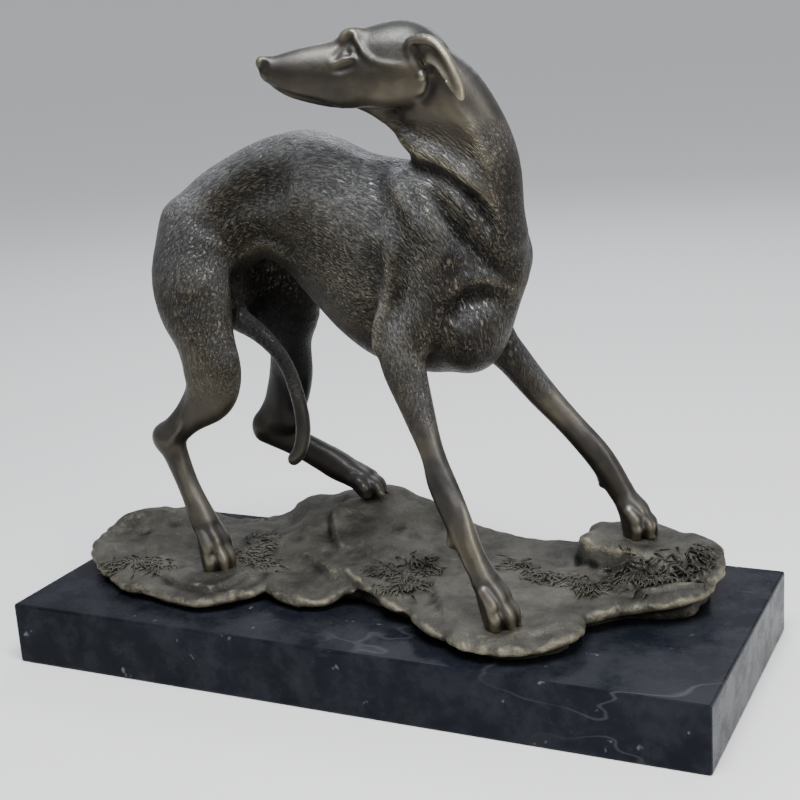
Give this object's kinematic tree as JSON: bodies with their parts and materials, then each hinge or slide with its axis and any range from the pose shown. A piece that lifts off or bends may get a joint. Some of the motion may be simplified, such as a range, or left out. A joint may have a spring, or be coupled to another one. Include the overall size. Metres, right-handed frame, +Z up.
{
  "type": "greyhound statue",
  "caption": "Bronze greyhound looking back over its shoulder, standing on broken rocky ground, on a rectangular black marble plinth.",
  "frame": {"origin": "centre of the plinth's underside", "axes": "+Z up, +X the way that the dog's body faces, along the plinth's length, +Y to the dog's left"},
  "size_m": [0.36, 0.152, 0.3093],
  "materials": {
    "bronze": "dark brown patina with brassy rubbed ridges",
    "black_marble": "polished black marble with pale veins"
  },
  "bodies": {
    "root": {"greyhound": "bronze", "plinth": "black_marble"}
  },
  "joints": []
}
